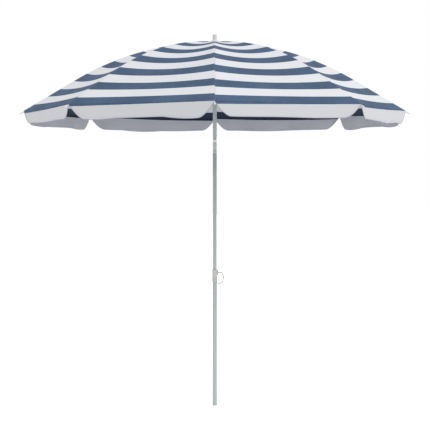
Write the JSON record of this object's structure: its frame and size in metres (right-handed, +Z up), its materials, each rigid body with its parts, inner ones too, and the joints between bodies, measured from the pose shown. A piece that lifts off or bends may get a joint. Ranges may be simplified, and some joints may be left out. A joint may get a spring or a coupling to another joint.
{
  "type": "beach umbrella",
  "caption": "Folding beach umbrella: arched striped cloth canopy with a hanging valance on ribs and struts, tilting telescopic steel mast, runner and locking pin.",
  "frame": {"origin": "centre of the flat bottom of the pole", "axes": "+Z up along the mast; the locking pin pulls out along +X, the upper part tilts towards +X, one rib points to -Y"},
  "size_m": [1.8582, 1.8582, 1.7705],
  "materials": {
    "pole_paint": "smooth pale grey-green enamel",
    "rib_paint": "pale grey enamel",
    "plated_steel": "zinc plated",
    "grey_plastic": "moulded, warm light grey",
    "white_plastic": "moulded, off-white",
    "canopy_cloth": "woven cloth with denim-blue and white stripes"
  },
  "bodies": {
    "base": {"lower_pole": "pole_paint", "foot_plug": "grey_plastic", "clamp_collar": "grey_plastic"},
    "lock_pin_body": {"lock_pin": "plated_steel", "pull_ring": "grey_plastic"},
    "mast_mid": {"mid_mast": "pole_paint", "tilt_fork": "plated_steel", "tilt_rivet": "plated_steel"},
    "mast_top": {"tilt_tongue": "plated_steel", "upper_mast": "pole_paint", "crown_hub": "white_plastic", "crown_wire": "plated_steel", "finial": "white_plastic"},
    "runner_body": {"runner": "white_plastic", "runner_wire": "plated_steel", "latch_pivot": "plated_steel"},
    "latch_body": {"runner_latch": "grey_plastic"},
    "rib_body_1": {"rib_1": "rib_paint", "rib_tip_1": "white_plastic", "rib_bracket_1": "plated_steel", "canopy_panel_1": "canopy_cloth"},
    "strut_body_1": {"strut_1": "rib_paint"},
    "rib_body_2": {"rib_2": "rib_paint", "rib_tip_2": "white_plastic", "rib_bracket_2": "plated_steel", "canopy_panel_2": "canopy_cloth"},
    "strut_body_2": {"strut_2": "rib_paint"},
    "rib_body_3": {"rib_3": "rib_paint", "rib_tip_3": "white_plastic", "rib_bracket_3": "plated_steel", "canopy_panel_3": "canopy_cloth"},
    "strut_body_3": {"strut_3": "rib_paint"},
    "rib_body_4": {"rib_4": "rib_paint", "rib_tip_4": "white_plastic", "rib_bracket_4": "plated_steel", "canopy_panel_4": "canopy_cloth"},
    "strut_body_4": {"strut_4": "rib_paint"},
    "rib_body_5": {"rib_5": "rib_paint", "rib_tip_5": "white_plastic", "rib_bracket_5": "plated_steel", "canopy_panel_5": "canopy_cloth"},
    "strut_body_5": {"strut_5": "rib_paint"},
    "rib_body_6": {"rib_6": "rib_paint", "rib_tip_6": "white_plastic", "rib_bracket_6": "plated_steel", "canopy_panel_6": "canopy_cloth"},
    "strut_body_6": {"strut_6": "rib_paint"},
    "rib_body_7": {"rib_7": "rib_paint", "rib_tip_7": "white_plastic", "rib_bracket_7": "plated_steel", "canopy_panel_7": "canopy_cloth"},
    "strut_body_7": {"strut_7": "rib_paint"},
    "rib_body_8": {"rib_8": "rib_paint", "rib_tip_8": "white_plastic", "rib_bracket_8": "plated_steel", "canopy_panel_8": "canopy_cloth"},
    "strut_body_8": {"strut_8": "rib_paint"}
  },
  "joints": [
    {"name": "height_slide", "type": "slide", "parent": "base", "child": "mast_mid", "axis": [0, 0, 1], "range_m": [-0.05, 0.2]},
    {"name": "tilt_hinge", "type": "hinge", "parent": "mast_mid", "child": "mast_top", "pos_m": [0, 0, 1.267], "axis": [0, 1, 0], "range_deg": [0, 40]},
    {"name": "runner_slide", "type": "slide", "parent": "mast_top", "child": "runner_body", "axis": [0, 0, 1], "range_m": [-0.71677, 0], "deforming": ["canopy_panel_1", "canopy_panel_2", "canopy_panel_3", "canopy_panel_4", "canopy_panel_5", "canopy_panel_6", "canopy_panel_7", "canopy_panel_8"]},
    {"name": "lock_pin_slide", "type": "slide", "parent": "base", "child": "lock_pin_body", "axis": [1, 0, 0], "range_m": [0, 0.03]},
    {"name": "latch_hinge", "type": "hinge", "parent": "runner_body", "child": "latch_body", "pos_m": [0.01571, 0.00651, 1.523], "axis": [-0.3827, 0.9239, 0], "range_deg": [0, 8], "stiffness_Nm_per_rad": 0.05},
    {"name": "rib_hinge_1", "type": "hinge", "parent": "mast_top", "child": "rib_body_1", "pos_m": [0, -0.02, 1.714], "axis": [1, 0, 0], "range_deg": [0, 70.01]},
    {"name": "strut_hinge_1", "type": "hinge", "parent": "rib_body_1", "child": "strut_body_1", "pos_m": [0, -0.456, 1.636], "axis": [1, 0, 0], "range_deg": [-140.02, 0]},
    {"name": "rib_hinge_2", "type": "hinge", "parent": "mast_top", "child": "rib_body_2", "pos_m": [0.01414, -0.01414, 1.714], "axis": [0.7071, 0.7071, 0], "range_deg": [0, 70.01]},
    {"name": "strut_hinge_2", "type": "hinge", "parent": "rib_body_2", "child": "strut_body_2", "pos_m": [0.32244, -0.32244, 1.636], "axis": [0.7071, 0.7071, 0], "range_deg": [-140.02, 0]},
    {"name": "rib_hinge_3", "type": "hinge", "parent": "mast_top", "child": "rib_body_3", "pos_m": [0.02, 0, 1.714], "axis": [0, 1, 0], "range_deg": [0, 70.01]},
    {"name": "strut_hinge_3", "type": "hinge", "parent": "rib_body_3", "child": "strut_body_3", "pos_m": [0.456, 0, 1.636], "axis": [0, 1, 0], "range_deg": [-140.02, 0]},
    {"name": "rib_hinge_4", "type": "hinge", "parent": "mast_top", "child": "rib_body_4", "pos_m": [0.01414, 0.01414, 1.714], "axis": [-0.7071, 0.7071, 0], "range_deg": [0, 70.01]},
    {"name": "strut_hinge_4", "type": "hinge", "parent": "rib_body_4", "child": "strut_body_4", "pos_m": [0.32244, 0.32244, 1.636], "axis": [-0.7071, 0.7071, 0], "range_deg": [-140.02, 0]},
    {"name": "rib_hinge_5", "type": "hinge", "parent": "mast_top", "child": "rib_body_5", "pos_m": [0, 0.02, 1.714], "axis": [-1, 0, 0], "range_deg": [0, 70.01]},
    {"name": "strut_hinge_5", "type": "hinge", "parent": "rib_body_5", "child": "strut_body_5", "pos_m": [0, 0.456, 1.636], "axis": [-1, 0, 0], "range_deg": [-140.02, 0]},
    {"name": "rib_hinge_6", "type": "hinge", "parent": "mast_top", "child": "rib_body_6", "pos_m": [-0.01414, 0.01414, 1.714], "axis": [-0.7071, -0.7071, 0], "range_deg": [0, 70.01]},
    {"name": "strut_hinge_6", "type": "hinge", "parent": "rib_body_6", "child": "strut_body_6", "pos_m": [-0.32244, 0.32244, 1.636], "axis": [-0.7071, -0.7071, 0], "range_deg": [-140.02, 0]},
    {"name": "rib_hinge_7", "type": "hinge", "parent": "mast_top", "child": "rib_body_7", "pos_m": [-0.02, 0, 1.714], "axis": [0, -1, 0], "range_deg": [0, 70.01]},
    {"name": "strut_hinge_7", "type": "hinge", "parent": "rib_body_7", "child": "strut_body_7", "pos_m": [-0.456, 0, 1.636], "axis": [0, -1, 0], "range_deg": [-140.02, 0]},
    {"name": "rib_hinge_8", "type": "hinge", "parent": "mast_top", "child": "rib_body_8", "pos_m": [-0.01414, -0.01414, 1.714], "axis": [0.7071, -0.7071, 0], "range_deg": [0, 70.01]},
    {"name": "strut_hinge_8", "type": "hinge", "parent": "rib_body_8", "child": "strut_body_8", "pos_m": [-0.32244, -0.32244, 1.636], "axis": [0.7071, -0.7071, 0], "range_deg": [-140.02, 0]}
  ],
  "couplings": [
    {"joint": "rib_hinge_1", "follows": "runner_slide", "rad_per_m": -1.7045},
    {"joint": "strut_hinge_1", "follows": "runner_slide", "rad_per_m": 3.409},
    {"joint": "rib_hinge_2", "follows": "runner_slide", "rad_per_m": -1.7045},
    {"joint": "strut_hinge_2", "follows": "runner_slide", "rad_per_m": 3.409},
    {"joint": "rib_hinge_3", "follows": "runner_slide", "rad_per_m": -1.7045},
    {"joint": "strut_hinge_3", "follows": "runner_slide", "rad_per_m": 3.409},
    {"joint": "rib_hinge_4", "follows": "runner_slide", "rad_per_m": -1.7045},
    {"joint": "strut_hinge_4", "follows": "runner_slide", "rad_per_m": 3.409},
    {"joint": "rib_hinge_5", "follows": "runner_slide", "rad_per_m": -1.7045},
    {"joint": "strut_hinge_5", "follows": "runner_slide", "rad_per_m": 3.409},
    {"joint": "rib_hinge_6", "follows": "runner_slide", "rad_per_m": -1.7045},
    {"joint": "strut_hinge_6", "follows": "runner_slide", "rad_per_m": 3.409},
    {"joint": "rib_hinge_7", "follows": "runner_slide", "rad_per_m": -1.7045},
    {"joint": "strut_hinge_7", "follows": "runner_slide", "rad_per_m": 3.409},
    {"joint": "rib_hinge_8", "follows": "runner_slide", "rad_per_m": -1.7045},
    {"joint": "strut_hinge_8", "follows": "runner_slide", "rad_per_m": 3.409}
  ]
}
